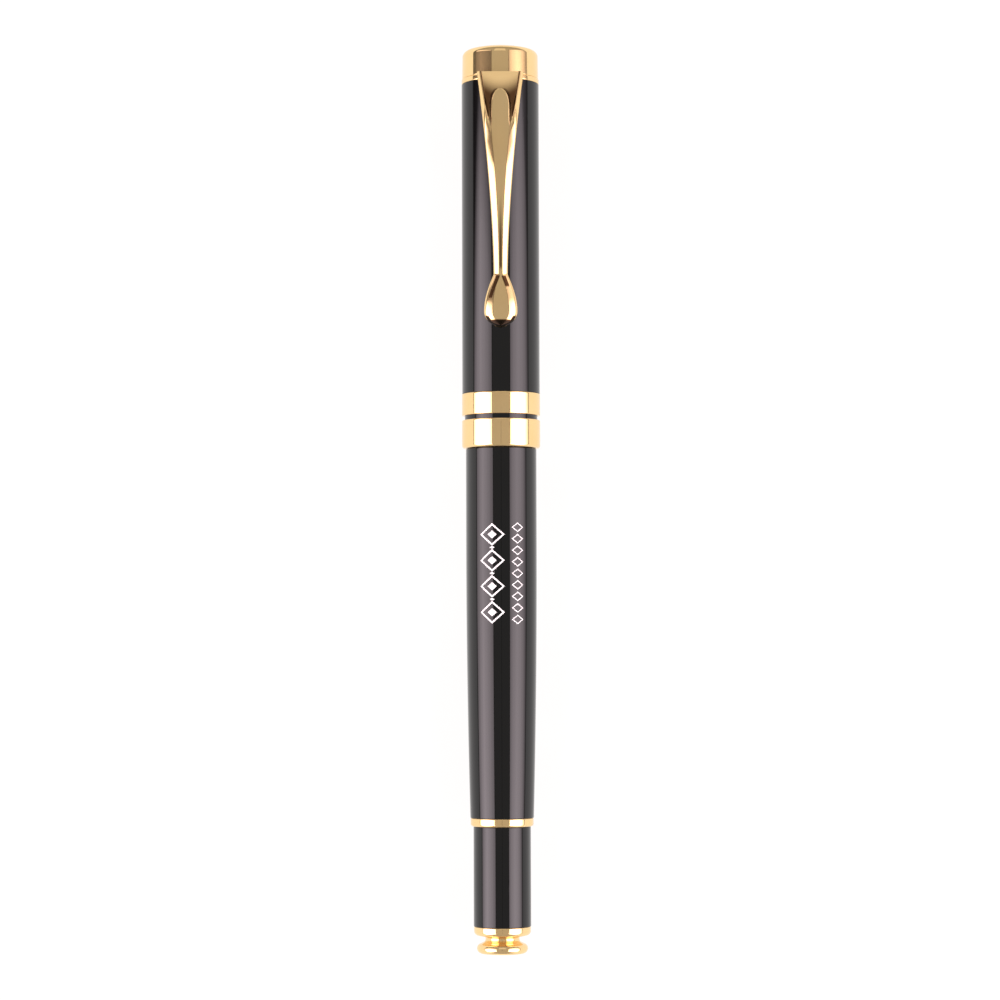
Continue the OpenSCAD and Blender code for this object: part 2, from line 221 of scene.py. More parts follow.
def loops_mesh(name, loops):
    """Skins a list of closed loops with equal numbers of points, and closes both ends."""
    count, rows = len(loops[0]), len(loops)
    points = [p for loop in loops for p in loop]
    faces = []
    for i in range(rows - 1):
        n = i + 1
        for k in range(count):
            m = (k + 1) % count
            faces.append([i * count + k, n * count + k, n * count + m, i * count + m])
    faces.append(list(range(count)))
    faces.append(list(range((rows - 1) * count, rows * count))[::-1])
    return clean(add_mesh(name, points, faces))


# ---- Materials ----

class Nodes:
    """Short calls for building a material's node tree."""

    def __init__(self, name):
        self.material = bpy.data.materials.new(name)
        self.material.use_nodes = True
        self.tree = self.material.node_tree
        self.shader = self.tree.nodes["Principled BSDF"]
        self.place = self.node("ShaderNodeTexCoord").outputs["Object"]

    def node(self, kind, inputs=None, **settings):
        made = self.tree.nodes.new(kind)
        for key, value in settings.items():
            setattr(made, key, value)
        for key, value in (inputs or {}).items():
            self.put(made.inputs[key], value)
        return made

    def put(self, socket, value):
        if isinstance(value, bpy.types.NodeSocket):
            self.tree.links.new(value, socket)
        else:
            socket.default_value = value

    def set(self, **values):
        for key, value in values.items():
            self.put(self.shader.inputs[key.replace("_", " ")], value)
        return self

    def stretch(self, scale, turn=(0, 0, 0)):
        return self.node("ShaderNodeMapping", {
            "Vector": self.place, "Scale": scale, "Rotation": turn}).outputs["Vector"]

    def noise(self, scale, detail=3.0, rough=0.5, place=None):
        return self.node("ShaderNodeTexNoise", {
            "Vector": self.place if place is None else place, "Scale": scale,
            "Detail": detail, "Roughness": rough}).outputs["Fac"]

    def spread(self, value, low, high, start=0.3, end=0.7):
        return self.node("ShaderNodeMapRange", {
            "Value": value, "From Min": start, "From Max": end,
            "To Min": low, "To Max": high}).outputs["Result"]

    def blend(self, factor, a, b):
        made = self.node("ShaderNodeMix", {"Factor": factor}, data_type="RGBA")
        self.put(made.inputs[6], (*a, 1) if isinstance(a, tuple) else a)
        self.put(made.inputs[7], (*b, 1) if isinstance(b, tuple) else b)
        return made.outputs[2]

    def math(self, operation, a, b=0.0):
        return self.node("ShaderNodeMath", {0: a, 1: b}, operation=operation).outputs[0]

    def bump(self, height, microns, below=None):
        made = self.node("ShaderNodeBump", {"Height": height, "Distance": microns * MICRON, "Strength": 1.0})
        if below is not None:
            self.put(made.inputs["Normal"], below)
        return made.outputs["Normal"]


def scratches(n, scale, turn, patches):
    """Fine long hairlines in patches of the given scale: 1 on a line and 0 beside it."""
    lines = n.noise(1.0, 2.0, 0.6, n.stretch(scale, turn))
    away = n.math("ABSOLUTE", n.math("SUBTRACT", lines, 0.5))
    shown = n.spread(n.noise(patches), 0, 1, 0.5, 0.7)
    return n.math("MULTIPLY", n.spread(away, 1.0, 0.0, 0.0, 0.012), shown)


def lacquer():
    n = Nodes("black_lacquer")
    hair = scratches(n, (260, 30, 260), (0.2, 0.1, 0.7), 160)
    smear = n.noise(90, 4, 0.6, n.stretch((1, 0.35, 1)))
    base = n.blend(n.spread(smear, 0, 1), (0.0006, 0.0005, 0.0005), (0.0014, 0.0012, 0.0012))
    rough = n.math("ADD", n.spread(smear, 0.030, 0.062), n.math("MULTIPLY", hair, 0.05))
    peel = n.bump(n.noise(520, 2, 0.5), 1.2)
    n.set(Base_Color=base, Roughness=rough, IOR=1.48, Normal=n.bump(hair, 0.6, peel))
    return n.material


def gold(name="gold_plate", lines=(14, 5200, 14), depth=0.22, painted_reflection=None):
    """Polished plate with faint polishing lines, which run round the pen unless lines says otherwise and are
    depth microns deep. The last argument names a mesh attribute of painted dark reflections and shade, which
    darkens and dulls the plate: to brown at 1, and nearly to black at 2."""
    n = Nodes(name)
    cloud = n.noise(140, 4, 0.6)
    polish = n.noise(1.0, 3, 0.6, n.stretch(lines))
    hair = scratches(n, (40, 420, 300), (0.3, 0.5, 0.2), 200)
    base = n.blend(n.spread(cloud, 0, 1), (0.950, 0.690, 0.340), (0.925, 0.650, 0.305))
    rough = n.math("ADD", n.spread(cloud, 0.050, 0.095), n.math("MULTIPLY", hair, 0.10))
    # Painted dark reflections and shade: the attribute turns the plate brown at 1 and nearly black at 2, and
    # dulls it.
    if painted_reflection:
        painted_dark = n.node("ShaderNodeAttribute", attribute_name=painted_reflection).outputs["Fac"]
        base = n.blend(painted_dark, base, (0.11, 0.052, 0.020))
        base = n.blend(n.math("SUBTRACT", painted_dark, 1.0), base, (0.016, 0.010, 0.006))
        rough = n.math("ADD", rough, n.math("MULTIPLY", painted_dark, 0.10))
    normal = n.bump(n.noise(700, 2, 0.5), 1.2, n.bump(polish, depth))
    n.set(Base_Color=base, Metallic=0.94, Roughness=rough, Normal=normal)
    return n.material


def brass():
    n = Nodes("bare_brass")
    turned = n.noise(1.0, 4, 0.7, n.stretch((30, 3600, 30)))
    stain = n.noise(260, 5, 0.65)
    base = n.blend(n.spread(stain, 0, 1, 0.35, 0.7), (0.72, 0.52, 0.25), (0.52, 0.34, 0.15))
    n.set(Base_Color=base, Metallic=1.0, Roughness=n.spread(stain, 0.22, 0.40), Normal=n.bump(turned, 4))
    return n.material


def dark_plastic():
    n = Nodes("dark_plastic")
    cloud = n.noise(180, 4, 0.6)
    n.set(Base_Color=n.blend(n.spread(cloud, 0, 1), (0.012, 0.012, 0.013), (0.022, 0.022, 0.024)),
          Roughness=n.spread(cloud, 0.30, 0.46), IOR=1.49,
          Normal=n.bump(n.noise(2600, 3, 0.6), 3))
    return n.material


def grip():
    n = Nodes("grip_plastic")
    cloud = n.noise(150, 4, 0.6)
    worn = n.spread(n.noise(420, 5, 0.65), 0, 1, 0.45, 0.75)
    n.set(Base_Color=n.blend(worn, (0.008, 0.0075, 0.008), (0.016, 0.015, 0.016)),
          Roughness=n.math("ADD", n.spread(cloud, 0.16, 0.26), n.math("MULTIPLY", worn, 0.05)), IOR=1.49,
          Normal=n.bump(n.noise(3200, 3, 0.6), 2.5))
    return n.material


def clear_tube():
    n = Nodes("refill_plastic")
    cloud = n.noise(120, 4, 0.6)
    drawn = n.noise(1.0, 3, 0.6, n.stretch((1800, 20, 1800)))
    n.set(Base_Color=n.blend(n.spread(cloud, 0, 1), (0.74, 0.78, 0.80), (0.83, 0.86, 0.87)),
          Roughness=n.spread(cloud, 0.20, 0.34), IOR=1.5, Transmission_Weight=0.72,
          Normal=n.bump(drawn, 4))
    return n.material


def ink():
    n = Nodes("ink")
    cloud = n.noise(300, 4, 0.6)
    n.set(Base_Color=n.blend(n.spread(cloud, 0, 1), (0.003, 0.003, 0.005), (0.007, 0.007, 0.011)),
          Roughness=n.spread(cloud, 0.06, 0.16), IOR=1.34, Normal=n.bump(n.noise(900), 2))
    return n.material


def steel():
    n = Nodes("steel")
    drawn = n.noise(1.0, 4, 0.7, n.stretch((60, 4200, 60)))
    cloud = n.noise(240, 4, 0.6)
    n.set(Base_Color=n.blend(n.spread(cloud, 0, 1), (0.56, 0.57, 0.59), (0.68, 0.69, 0.70)),
          Metallic=1.0, Roughness=n.spread(cloud, 0.14, 0.26), Normal=n.bump(drawn, 2.5))
    return n.material


def white_print():
    n = Nodes("white_print")
    pores = n.noise(2600, 3, 0.6)
    n.set(Base_Color=n.blend(n.spread(pores, 0, 1), (0.80, 0.79, 0.78), (0.90, 0.89, 0.88)),
          Roughness=n.spread(pores, 0.42, 0.60), IOR=1.45, Normal=n.bump(pores, 3))
    return n.material


MATERIALS = {
    "black_lacquer": lacquer(),
    "gold_plate": gold(),
    "bare_brass": brass(),
    "grip_plastic": grip(),
    "dark_plastic": dark_plastic(),
    "refill_plastic": clear_tube(),
    "ink": ink(),
    "steel": steel(),
    "white_print": white_print(),
}
# The clip's polishing lines run along it, and its plate carries painted dark reflections and shade from the
# clip's mesh attribute.
CLIP_GOLD = gold("gold_plate_clip", lines=(3600, 40, 60), depth=0.15, painted_reflection="painted_reflection")

# Every carried CAD node takes its slot's material.
for row in frame["record"]["subparts"]:
    mesh = frame["nodes"][row["node"]].data
    mesh.materials.clear()
    mesh.materials.append(MATERIALS[row["material_slot"]])


def place(obj, body, slot, replaced=(), material=None, blend=None):
    """Gives a piece its material and hides the CAD nodes that it stands for. It joins the piece to its body
    unless blend is given; then the piece is only fixed in place.
    """
    obj.data.materials.clear()
    obj.data.materials.append(material or MATERIALS[slot])
    if blend:
        other, start, end = blend
        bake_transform(obj)
    else:
        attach(obj, body)
    if replaced:
        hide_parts(*replaced)


# ---- Cap ----

low, high, cap_r = span("cap_tube")
# The tube's bore, and the thinner wall under the bands.
CAP_BORE, SEAT_R = 5.35, 5.6
# The barrel's mouth, which the cap's lower edge stops short of.
MOUTH = span("lower_band")[0] - 0.05
shoulder = span("upper_band")[1] + GAP

cap_tube = lathe("cap_tube_lacquered", rounded([
    (CAP_BORE, low, 0.04), (SEAT_R, low, 0.04), (SEAT_R, shoulder, 0.0), (cap_r, shoulder, 0.05),
    (cap_r, high, 0.05), (CAP_BORE, high, 0.03)]))
place(cap_tube, "cap", "black_lacquer", ["cap_tube"])


def band(name, node, inner, body, corners, gap=None):
    """A gold ring between the CAD node's ends; corners are the fillets of its two outer edges."""
    a, b, r = span(node)
    outline = [(inner, a, 0.03), (r, a, corners[0]), (r, b, corners[1]), (inner, b, 0.03)]
    place(lathe(name, rounded(outline), gap=gap), body, "gold_plate", [node])


band("upper_band_polished", "upper_band", SEAT_R + GAP, "cap", (0.16, 0.12))

# The lower band turns in under the tube's edge.
LIP_R, LIP_TOP = 5.05, MOUTH + 0.4
a, b, r = span("lower_band")
lower = lathe("lower_band_polished", rounded([
    (LIP_R, a, 0.06), (r, a, 0.46), (r, b, 0.14), (SEAT_R + GAP, b, 0.03),
    (SEAT_R + GAP, LIP_TOP, 0.0), (LIP_R, LIP_TOP, 0.04)]))
place(lower, "cap", "gold_plate", ["lower_band"])

# The clip's tang passes through a slot in the clip ring.
RING_BORE, RING_MIDDLE, SLOT_HALF = 4.62, 5.28, 2.0
band("clip_ring_polished", "clip_ring", RING_BORE, "cap", (0.12, 0.12),
     gap=(0, math.degrees(math.asin(SLOT_HALF / RING_MIDDLE))))

a, b, r = span("crown")
crown_foot = span("clip_ring")[1] + GAP
top_r = r - 0.04
DOME, CROWN_ROUND = 0.8, 1.0
SPIGOT_R, SCREW_HOLE_R, SCREW_HOLE_TOP = 4.6, 1.27, crown_foot + 2.2
shoulder_arc = arc(top_r - CROWN_ROUND, b - DOME - CROWN_ROUND, CROWN_ROUND, 0, 75, 16)
dome_line = [((top_r - CROWN_ROUND) * (1 - s), b - DOME * (1 - s) ** 2) for s in np.linspace(0.08, 1, 24)]
crown = lathe("crown_polished", rounded([
    (0, SCREW_HOLE_TOP), (SCREW_HOLE_R, SCREW_HOLE_TOP, 0.05), (SCREW_HOLE_R, a, 0.08), (SPIGOT_R, a, 0.15),
    (SPIGOT_R, crown_foot), (r, crown_foot, 0.09)] + shoulder_arc + dome_line, closed=False), closed=False)
place(crown, "cap", "gold_plate", ["crown"])

# The inner cap: a chamber for the nose, a wider sleeve for the grip, and a mouth for the snap ring.
nose_low, nose_high, _ = span("nose_cone")
snap_low, snap_high, snap_r = span("snap_ring")
GROOVE_LOW, GROOVE_HIGH = snap_low - 0.05, snap_high + 0.05
CHAMBER_R, SLEEVE_R, SNAP_SEAT_R = 4.6, 4.9, 4.98
CHAMBER_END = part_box("tip_ball")[1].y / MM + 7
a, b, r = span("inner_cap")
inner_cap = lathe("inner_cap_moulded", rounded([
    (SNAP_SEAT_R, a, 0.08), (r, a, 0.05), (r, b, 0.2), (SCREW_HOLE_R, b, 0.05),
    (SCREW_HOLE_R, CHAMBER_END, 0.05), (CHAMBER_R, CHAMBER_END, 0.3), (CHAMBER_R, nose_low - 4, 0.2),
    (SLEEVE_R, nose_low - 4.6, 0.2), (SLEEVE_R, GROOVE_LOW + 4, 0.1), (SNAP_SEAT_R, GROOVE_LOW + 3.8, 0.1)]))
place(inner_cap, "cap", "dark_plastic", ["inner_cap"])


# ---- Barrel ----

_, b_high, barrel_r = span("barrel_tube")
ring_high = span("rear_ring")[1]
BARREL_REAR_R = 4.87
# The barrel is straight in front of this.
BARREL_TAPER = b_high - 14
LINER_SEAT_R, LINER_END = 3.95 + GAP, span("barrel_liner")[1]
BARREL_BORE = 4.2
bush_low, bush_high, bush_r = span("barrel_thread_bush")


def barrel_radius(y):
    s = min(max((BARREL_TAPER - y) / (BARREL_TAPER - ring_high), 0), 1)
    return barrel_r - (barrel_r - BARREL_REAR_R) * s * s


skin = [(barrel_radius(y), y) for y in np.linspace(ring_high, BARREL_TAPER, 40)]
barrel = lathe("barrel_lacquered", rounded(
    [(LINER_SEAT_R, ring_high, 0.03), (skin[0][0], skin[0][1], 0.10)] + skin[1:]
    + [(barrel_r, b_high, 0.12), (bush_r + GAP, b_high, 0.03), (bush_r + GAP, bush_low - GAP),
       (BARREL_BORE, bush_low - GAP), (BARREL_BORE, LINER_END + GAP), (LINER_SEAT_R, LINER_END + GAP)]))
place(barrel, "barrel", "black_lacquer", ["barrel_tube"])

band("rear_ring_polished", "rear_ring", LINER_SEAT_R, "barrel", (0.40, 0.14))

a, b, r = span("tail_tube")
tail = lathe("tail_lacquered", rounded([
    (LINER_SEAT_R, a, 0.03), (r, a, 0.09), (r, b, 0.09), (LINER_SEAT_R, b, 0.03)]))
place(tail, "barrel", "black_lacquer", ["tail_tube"])

# The end knob: a shallow dimple in its end, a flange, a neck, a rounded collar, and a spigot in the liner.
KNOB_SHOULDER, PLUG_R = a, 3.48
a, b, r = span("end_knob")
FLANGE_R, FLANGE_ROUND = 3.92, 0.80
NECK_R, NECK_ROUND, NECK_Y = 2.6, 0.5, 2.28
COLLAR_ROUND, COLLAR_EDGE = 0.7, 0.15
knob = lathe("end_knob_polished", [(0, a + 0.12), (1.2, a + 0.12), (1.32, a + 0.02), (2.4, a)]
             + arc(FLANGE_R - FLANGE_ROUND, a + FLANGE_ROUND + 0.06, FLANGE_ROUND, -75, 75)
             + arc(NECK_R + NECK_ROUND, a + NECK_Y, NECK_ROUND, 240, 120, 12)
             + arc(r - COLLAR_ROUND, KNOB_SHOULDER - COLLAR_ROUND, COLLAR_ROUND, -70, 0)
             + arc(r - COLLAR_EDGE, KNOB_SHOULDER - COLLAR_EDGE, COLLAR_EDGE, 0, 90, 5)
             + rounded([(3.8, KNOB_SHOULDER), (PLUG_R, KNOB_SHOULDER), (PLUG_R, b, 0.2), (0, b)],
                       closed=False), closed=False)
place(knob, "barrel", "gold_plate", ["end_knob"])


# ---- Threads ----

PITCH = 1.0


def thread_bush(name, ridge, base, depth, plain, low, high, columns=96):
    """A sleeve with a helical ridge on the wall of radius base, and a plain wall of radius plain. ridge is
    one pitch of it as (phase, share of depth). low and high are in mm from the pen's rear end."""
    turns = math.ceil((high - low) / PITCH)
    start = math.floor(low / PITCH) * PITCH
    loops = []
    for i in range(columns):
        a = i / columns
        loop = []
        for k in range(-2, turns + 2):
            for phase, height in ridge:
                z = min(max(PITCH * (k + a + phase) + start, low), high)
                fade = min(max(min(z - low, high - z) / (0.6 * PITCH), 0), 1)
                loop.append((base + depth * height * fade, z))
        loops.append(loop)
    rows, keys = len(loops[0]), len(ridge)
    points = []
    for i, loop in enumerate(loops):
        q = 2 * math.pi * i / columns
        points += [(-r * math.cos(q), z - HALF, r * math.sin(q)) for r, z in loop]
    first = len(points)
    for z in (low, high):
        for i in range(columns):
            q = 2 * math.pi * i / columns
            points.append((-plain * math.cos(q), z - HALF, plain * math.sin(q)))

    def at(i, j):
        return i * rows + j if i < columns else min(j + keys, rows - 1)

    faces = []
    for i in range(columns):
        n = (i + 1) % columns
        faces += [[at(i, j), at(i, j + 1), at(i + 1, j + 1), at(i + 1, j)] for j in range(rows - 1)]
        top = first + columns
        faces += [[i * rows, n * rows, first + n, first + i], [first + i, first + n, top + n, top + i],
                  [top + i, top + n, n * rows + rows - 1, i * rows + rows - 1]]
    return clean(add_mesh(name, points, faces, sharp=math.radians(30)), merge=1e-7)


THREAD_ROOT_R, THREAD_DEPTH, THREAD_PLAY, THREAD_BORE = 3.85, 0.35, 0.03, 3.52
a, b, _ = span("section_thread_bush")
place(thread_bush("section_thread_turned", [(0, 0), (0.3, 0), (0.5, 1), (0.8, 1)],
                  THREAD_ROOT_R, THREAD_DEPTH, THREAD_BORE, a + HALF, b + HALF),
      "section", "bare_brass", ["section_thread_bush"])
place(thread_bush("barrel_thread_turned", [(0.05, 1), (0.25, 1), (0.45, 0), (0.85, 0)],
                  THREAD_ROOT_R + THREAD_DEPTH + THREAD_PLAY, -THREAD_DEPTH, bush_r,
                  bush_low + HALF, bush_high + HALF),
      "barrel", "bare_brass", ["barrel_thread_bush"])

# The spring stretches between the end knob's spigot and the refill. Its end coils lie flat.
a, b, r = span("refill_spring")
WIRE = 0.24
turns, each_turn, sides = 5.5, 40, 12
steps = int(turns * each_turn)
coil = []
for i in range(steps + 1):
    q = 2 * math.pi * i / each_turn
    y = mix(a + WIRE, b - WIRE, ease((i / steps - 0.08) / 0.84))
    loop = []
    for w in np.arange(sides) * 2 * math.pi / sides:
        out = r - WIRE + WIRE * math.cos(w)
        loop.append((-out * math.cos(q), y + WIRE * math.sin(w), out * math.sin(q)))
    coil.append(loop)
spring = loops_mesh("refill_spring_wound", coil)
place(spring, "barrel", "steel", ["refill_spring"],
      blend=("refill", (0, (a + 0.5) * MM, AXIS_Z), (0, (b - 0.5) * MM, AXIS_Z)))


# ---- Section ----

s_low = span("section_grip")[0]
ring_front = span("section_ring")[1] + GAP
# Radii of the seat of the ring and the snap ring, and of the grip behind its waist, at it and in front of it.
RING_SEAT_R, GRIP_REAR_R, WAIST_R, GRIP_FRONT_R = 4.42, 4.82, 4.25, 4.45
WAIST_Y, GRIP_FRONT_Y = MOUTH + 22, nose_low - 2.5
# Radii inside: the refill's bore, the wall in the thread bush, the spigot in the nose cone, the tip's bore.
REFILL_BORE, BUSH_WALL_R, CONE_SPIGOT_R, TIP_BORE = 3.15, 3.50, 3.3, 2.1
SPIGOT_END = nose_low + 3.0
grip_line = [(mix(GRIP_REAR_R, WAIST_R, ease(s)), mix(GROOVE_HIGH + 1, WAIST_Y, s))
             for s in np.linspace(0.03, 1, 24)]
grip_line += [(mix(WAIST_R, GRIP_FRONT_R, ease(s)), mix(WAIST_Y, GRIP_FRONT_Y, s))
              for s in np.linspace(0.05, 1, 16)]
section = lathe("section_grip_moulded", rounded(
    [(REFILL_BORE, s_low, 0.04), (BUSH_WALL_R, s_low, 0.06), (BUSH_WALL_R, MOUTH + GAP),
     (RING_SEAT_R - GAP, MOUTH + GAP), (RING_SEAT_R - GAP, ring_front), (GRIP_REAR_R, ring_front, 0.10),
     (GRIP_REAR_R, GROOVE_LOW, 0.06), (RING_SEAT_R, GROOVE_LOW, 0.03), (RING_SEAT_R, GROOVE_HIGH, 0.03),
     (GRIP_REAR_R, GROOVE_HIGH, 0.06)]
    + grip_line
    + [(GRIP_FRONT_R, nose_low - GAP, 0.12), (CONE_SPIGOT_R, nose_low - GAP), (CONE_SPIGOT_R, SPIGOT_END),
       (TIP_BORE, SPIGOT_END), (TIP_BORE, nose_low - 2.95), (REFILL_BORE, nose_low - 4.55)]))
place(section, "section", "grip_plastic", ["section_grip"])
band("section_ring_polished", "section_ring", RING_SEAT_R, "section", (0.16, 0.22))

CONE_BASE_R, CONE_TIP_R, CONE_MOUTH = 4.3, 1.7, 1.25
CONE_BORE, CONE_STEP = CONE_SPIGOT_R + GAP, nose_low + 4.65
cone = [(CONE_TIP_R + (CONE_BASE_R - CONE_TIP_R) * (1 - s ** 1.6), mix(nose_low, nose_high, s))
        for s in np.linspace(0, 1, 26)]
nose = lathe("nose_cone_polished", rounded(
    [(CONE_BORE, nose_low, 0.02), (cone[0][0], cone[0][1], 0.08)] + cone[1:-1]
    + [(cone[-1][0], cone[-1][1], 0.10), (CONE_MOUTH, nose_high, 0.06), (CONE_MOUTH, CONE_STEP),
       (TIP_BORE, CONE_STEP), (TIP_BORE, SPIGOT_END + 0.1), (CONE_BORE, SPIGOT_END + 0.1)]))
place(nose, "section", "gold_plate", ["nose_cone"])

# The snap ring is open at its lowest point.
SNAP_BORE, SNAP_MIDDLE, SNAP_OPENING_HALF = 4.46, 4.7, 0.8
snap = lathe("snap_ring_formed", rounded([
    (SNAP_BORE, snap_low, 0.08), (snap_r, snap_low, 0.18), (snap_r, snap_high, 0.18),
    (SNAP_BORE, snap_high, 0.08)]), gap=(180, math.degrees(math.asin(SNAP_OPENING_HALF / SNAP_MIDDLE))))
place(snap, "snap_ring", "steel", ["snap_ring"])


# ---- Clip ----

# t is the distance in mm from the clip's root towards its free end, and x the distance from its middle line.
ROOT_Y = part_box("clip_arm")[1].y / MM
CLIP_LENGTH = 39.2
DROP_LENGTH, DROP_HALF = 7.9, 2.57
# The drop is widest at this share of its length.
BELLY = 0.71
DROP_T = CLIP_LENGTH - DROP_LENGTH
NECK_HALF, ROOT_HALF, CLIP_TAPER = 1.1, 3.6, 1.67


def clip_half(t):
    """Half width of the clip."""
    if t < DROP_T:
        return mix(NECK_HALF, ROOT_HALF, (1 - t / DROP_T) ** CLIP_TAPER)
    u = (t - DROP_T) / DROP_LENGTH
    if u < BELLY:
        return NECK_HALF + (DROP_HALF - NECK_HALF) * math.sin(math.pi / 2 * u / BELLY)
    v = min((u - BELLY) / (1 - BELLY), 1)
    return DROP_HALF * math.sqrt(max(0.0, 1 - v * v))


def drop_swell(t):
    """0 on the arm, and in the drop a share of the swelling that is 1 at its belly."""
    u = (t - DROP_T) / DROP_LENGTH
    if u <= 0:
        return 0.0
    if u < BELLY:
        return float(ease(u / BELLY))
    return math.sqrt(max(0.0, 1 - ((min(u, 1) - BELLY) / (1 - BELLY)) ** 2))


def crest(t):
    """Height of the clip's middle line above the pen axis. It rises from the root and sinks to the drop."""
    return cap_r + 2.05 + 0.27 * ease((t - 4) / 11) - 0.62 * ease((t - 14) / 17) + 0.08 * drop_swell(t)


def under(t):
    """Height of the clip's underside on its middle line."""
    return cap_r + 0.08 + 0.95 * ease((t - 1) / 6) - 0.35 * ease((t - 9) / 21)


# The dish in the root, and the ridge that starts in it with an arched end. Their walls are this wide.
DISH_DEPTH, DISH_END = 0.42, 8.7
ARCH_T, ARCH_LENGTH, RIDGE_HALF = 2.75, 3.4, 1.42
RIM_WALL, RIDGE_WALL = 0.44, 0.50


def rim_line(t):
    """Height of the rims beside the dish, which rise more slowly than the ridge does."""
    return cap_r + 1.25 + 0.92 * math.sin(math.pi / 2 * min(t / 11, 1))


def dish_parts(x, t):
    """How far a point is in the dish between the rims and the ridge, and how far it is on the ridge, from 0
    to 1."""
    rim = clip_half(t) - (0.62 + 0.42 * (t / DISH_END) ** 2.2)
    s = min(max((t - ARCH_T) / ARCH_LENGTH, 0), 1)
    ridge = RIDGE_HALF * math.sqrt(max(0.0, 1 - (1 - s) ** 2.6))
    inside = ease((rim - abs(x)) / RIM_WALL + 0.5)
    beside = ease((abs(x) - ridge) / RIDGE_WALL + 0.3) if ridge > 0 else 1.0
    return float(inside * ease((DISH_END - t) / 1.6)), float(1 - beside)


def clip_upper(x, t):
    """Height of the clip's upper face above the pen axis."""
    w = max(clip_half(t), 1e-4)
    s = min(abs(x) / w, 1)
    dish, on_ridge = dish_parts(x, t)
    arm = float(ease((t - 4) / 7))
    sag = mix(mix(0.16, 0.50, arm), 0.62, drop_swell(t)) * s * s
    height = mix(rim_line(t) - DISH_DEPTH * dish, crest(t), max(on_ridge, arm))
    edge = min(mix(mix(0.62, 0.24, arm), 0.55, drop_swell(t)), w * 0.5)
    e = min(max(0.0, (abs(x) - (w - edge)) / edge), 1)
    bevel = mix(1.05, 0.0, arm)
    return height - sag - edge * (bevel * e + (1 - bevel) * (1 - math.sqrt(1 - e * e)))


def stroke(x, t, line, width, ends):
    """1 along a line of (t, x) points, which fades out over its width and beyond its ends."""
    middle = np.interp(t, *zip(*line))
    across = min(1.0, max(0.0, 1.7 * (1 - ((x - middle) / width) ** 2)))
    return across * float(ease((t - line[0][0]) / ends + 1) * ease((line[-1][0] - t) / ends + 1))


def clip_painted_reflection(x, t):
    """How dark the plate is drawn, in place of what it reflects in the photo: up to 1 in the dish, on its
    walls and along the arm's thin end, and up to 2 at the drop's marks."""
    dish, on_ridge = dish_parts(x, t)
    half = clip_half(t)
    here = float(ease((DISH_END + 0.3 - t) / 1.2))
    # Painted shade and reflections in the root's dish, on its walls and beside the ridge.
    rim_wall = 4 * dish * (1 - dish) if t < DISH_END - 1.6 else 0.0
    ridge_wall = 4 * on_ridge * (1 - on_ridge)
    q = abs(x) / half
    hollow = dish * (1 - on_ridge) * float(ease((t - 0.9 + 1.5 * q * q) / 3.2))
    # A painted dark reflection along the middle of the arm's thin end. It has no groove under it.
    painted_line = 0.9 * float(ease((t - 18.5) / 8) * ease((30.9 - t) / 0.9)) * max(0.0, 1 - (x / 0.30) ** 2)
    # The drop's painted dark reflections: a stroke on each flank, the rim beside its tip, and the tip.
    u = t - DROP_T
    left = stroke(x, u, [(0.35, -0.40), (1.9, -1.02), (3.5, -1.58)], 0.32, 0.3)
    right = stroke(x, u, [(0.45, 0.50), (1.7, 0.98)], 0.38, 0.35)
    tip = float(ease((u - 6.2) / 0.4)) * float(ease((abs(x) - half + 0.66) / 0.16))
    tip *= float(ease((half - 0.05 - abs(x)) / 0.08))
    end = float(ease((u - 6.85) / 0.3))
    root = min(1.0, here * max(rim_wall, ridge_wall, hollow))
    return max(root, painted_line, 1.3 * left, 1.4 * right, 2 * tip, 2 * end)


def clip_lower(x, t):
    """Height of the clip's lower face above the pen axis: it lies on the tube at the root, and bulges in the
    drop."""
    w = max(clip_half(t), 0.01)
    s = min(abs(x) / w, 1)
    swell = drop_swell(t)
    tube = math.sqrt((cap_r + 0.08) ** 2 - x * x)
    belly = mix(under(t), cap_r + 0.05, swell)
    edge = mix(under(t), mix(belly, crest(t), 0.45), swell)
    return mix(tube, mix(edge, belly, math.sqrt(1 - s * s)), float(ease((t - 0.8) / 3)))


THINNEST = 0.10


def clip_mesh():
    across, arm, tip = 64, 230, 70
    stations = [DROP_T * (i / arm) for i in range(arm)]
    stations += [DROP_T + DROP_LENGTH * min(0.9995, math.sin(math.pi / 2 * i / tip)) for i in range(tip + 1)]
    xs = [mix(k / across, math.sin(math.pi / 2 * k / across), 0.7) for k in range(-across, across + 1)]
    loops, painted_reflection = [], []
    for t in stations:
        w = clip_half(t)
        top = [(s * w, ROOT_Y - t, clip_upper(s * w, t)) for s in xs]
        bottom = [(x, y, min(clip_lower(x, t), z - THINNEST)) for x, y, z in top[::-1]]
        loops.append(top + bottom)
        # Painted dark reflections and shade on the upper face, and none on the underside.
        painted_reflection += [clip_painted_reflection(s * w, t) for s in xs] + [0.0] * len(xs)
    obj = loops_mesh("clip_pressed", loops)
    obj.data.attributes.new("painted_reflection", "FLOAT", "POINT").data.foreach_set("value", painted_reflection)
    return obj


clip = clip_mesh()

